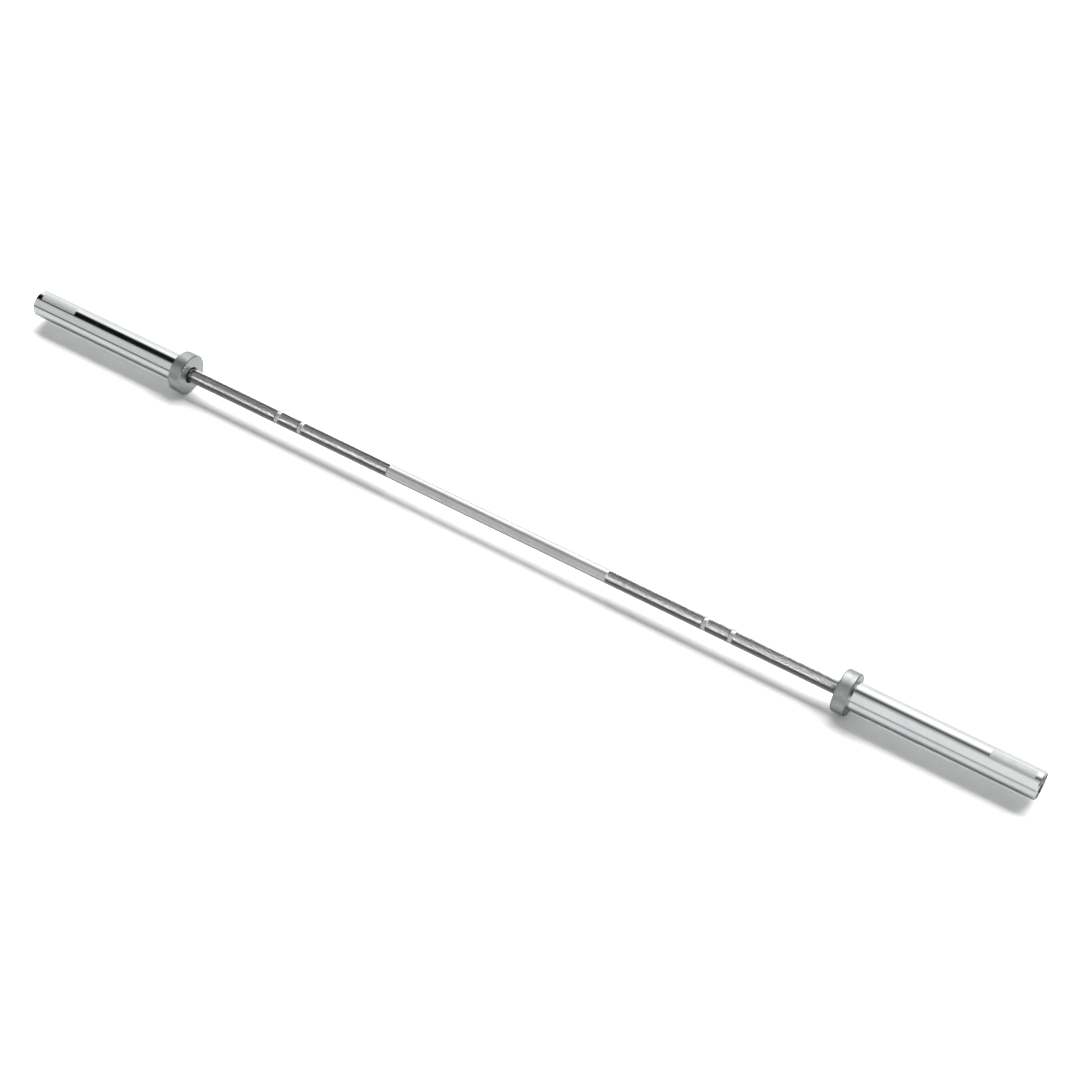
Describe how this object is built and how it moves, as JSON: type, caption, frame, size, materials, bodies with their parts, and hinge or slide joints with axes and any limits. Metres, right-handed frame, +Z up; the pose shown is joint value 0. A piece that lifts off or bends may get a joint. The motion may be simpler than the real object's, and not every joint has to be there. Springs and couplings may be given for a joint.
{
  "type": "barbell",
  "caption": "Straight weightlifting bar with a knurled slim shaft and smooth free-spinning sleeves behind thick round collars.",
  "frame": {"origin": "middle of the bar, on the axis of the shaft", "axes": "+X along the bar towards the right sleeve, +Z up when the bar lies on its two collars, +Y away from the lifter"},
  "size_m": [2.01, 0.0748, 0.0748],
  "materials": {
    "bright_chrome": "mirror polished hard chrome",
    "satin_chrome": "satin, fine bead blasted under chrome",
    "knurled_steel": "chromed, knurled bands with plain rings",
    "ground_steel": "ground bearing steel, oiled",
    "bronze": "oil-filled sintered bronze",
    "spring_steel": "stainless spring steel",
    "black_rubber": "matt nitrile rubber"
  },
  "bodies": {
    "bar": {"shaft": "knurled_steel", "left_shaft_circlip": "spring_steel", "right_shaft_circlip": "spring_steel"},
    "left_sleeve_assembly": {"left_sleeve": "bright_chrome", "left_collar": "satin_chrome", "left_dust_seal": "black_rubber", "left_bushing": "bronze", "left_inner_bearing_cup": "ground_steel", "left_outer_bearing_cup": "ground_steel", "left_thrust_washer": "bronze", "left_end_cap": "bright_chrome", "left_end_cap_o_ring": "black_rubber", "left_end_cap_circlip": "spring_steel"},
    "left_needle_cages": {"left_inner_needle_cage": "ground_steel", "left_outer_needle_cage": "ground_steel"},
    "right_sleeve_assembly": {"right_sleeve": "bright_chrome", "right_collar": "satin_chrome", "right_dust_seal": "black_rubber", "right_bushing": "bronze", "right_inner_bearing_cup": "ground_steel", "right_outer_bearing_cup": "ground_steel", "right_thrust_washer": "bronze", "right_end_cap": "bright_chrome", "right_end_cap_o_ring": "black_rubber", "right_end_cap_circlip": "spring_steel"},
    "right_needle_cages": {"right_inner_needle_cage": "ground_steel", "right_outer_needle_cage": "ground_steel"}
  },
  "joints": [
    {"name": "left_sleeve_spin", "type": "hinge", "parent": "bar", "child": "left_sleeve_assembly", "pos_m": [-0.83, 0, 0], "axis": [1, 0, 0], "continuous": true},
    {"name": "right_sleeve_spin", "type": "hinge", "parent": "bar", "child": "right_sleeve_assembly", "pos_m": [0.83, 0, 0], "axis": [1, 0, 0], "continuous": true},
    {"name": "left_needles_roll", "type": "hinge", "parent": "bar", "child": "left_needle_cages", "pos_m": [-0.83, 0, 0], "axis": [1, 0, 0], "continuous": true},
    {"name": "right_needles_roll", "type": "hinge", "parent": "bar", "child": "right_needle_cages", "pos_m": [0.83, 0, 0], "axis": [1, 0, 0], "continuous": true}
  ],
  "couplings": [
    {"joint": "left_needles_roll", "follows": "left_sleeve_spin", "ratio": 0.5635},
    {"joint": "right_needles_roll", "follows": "right_sleeve_spin", "ratio": 0.5635}
  ]
}
